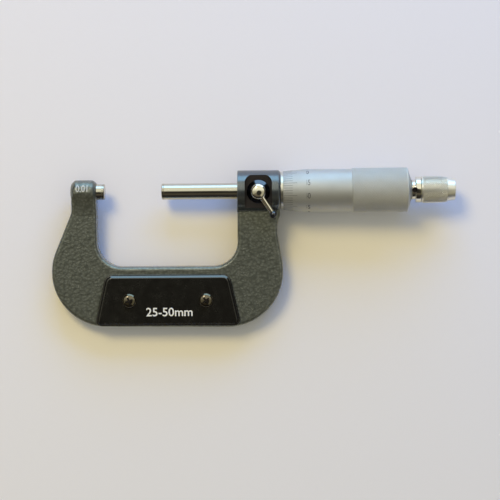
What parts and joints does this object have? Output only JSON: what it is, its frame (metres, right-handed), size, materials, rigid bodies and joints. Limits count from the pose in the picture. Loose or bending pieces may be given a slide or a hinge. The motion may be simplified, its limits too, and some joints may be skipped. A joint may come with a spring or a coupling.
{
  "type": "outside micrometer",
  "caption": "Outside micrometer with a C-shaped frame, screw-driven spindle, graduated thimble, ratchet stop and spindle lock.",
  "frame": {"origin": "middle of the anvil's measuring face", "axes": "+X along the spindle from the anvil to the ratchet, +Y out of the frame's mouth, +Z out of the front with the plate"},
  "size_m": [0.1615, 0.0634, 0.0182],
  "materials": {
    "hammered_paint": "grey-green hammered paint on a cast frame",
    "ground_steel": "ground and lapped tool steel",
    "carbide": "lapped tungsten carbide",
    "satin_chrome": "satin chrome plate on steel",
    "polished_chrome": "bright chrome plate on steel",
    "dark_steel": "turned steel, oiled",
    "spring_steel": "spring wire",
    "brass": "turned brass",
    "black_enamel": "black enamel on a pressed plate"
  },
  "bodies": {
    "frame_body": {"frame": "hammered_paint", "anvil": "ground_steel", "anvil_tip": "carbide", "inner_sleeve": "dark_steel", "scale_sleeve": "satin_chrome", "adjusting_nut": "dark_steel", "clamp_shoe": "brass", "front_plate": "black_enamel", "plate_screw_left": "polished_chrome", "plate_screw_right": "polished_chrome"},
    "spindle_body": {"spindle": "ground_steel", "spindle_tip": "carbide"},
    "thimble_body": {"thimble": "satin_chrome", "ratchet_stem": "polished_chrome", "ratchet_ring": "dark_steel", "ratchet_end_screw": "polished_chrome"},
    "knob_body": {"ratchet_knob": "satin_chrome", "ratchet_pawl": "dark_steel", "ratchet_spring": "spring_steel"},
    "lever_body": {"lock_lever": "polished_chrome", "lock_screw": "dark_steel"}
  },
  "joints": [
    {"name": "spindle_feed", "type": "slide", "parent": "frame_body", "child": "spindle_body", "axis": [1, 0, 0], "range_m": [-0.0008, 0.0271]},
    {"name": "thimble_turn", "type": "hinge", "parent": "spindle_body", "child": "thimble_body", "pos_m": [0.1, 0, 0], "axis": [1, 0, 0], "range_deg": [-577, 19513]},
    {"name": "knob_turn", "type": "hinge", "parent": "thimble_body", "child": "knob_body", "pos_m": [0.13, 0, 0], "axis": [1, 0, 0], "continuous": true},
    {"name": "lock_turn", "type": "hinge", "parent": "frame_body", "child": "lever_body", "pos_m": [0.0616, 0, 0.006], "axis": [0, 0, 1], "range_deg": [-50, 0]}
  ],
  "couplings": [
    {"joint": "thimble_turn", "follows": "spindle_feed", "rad_per_m": 12566}
  ]
}
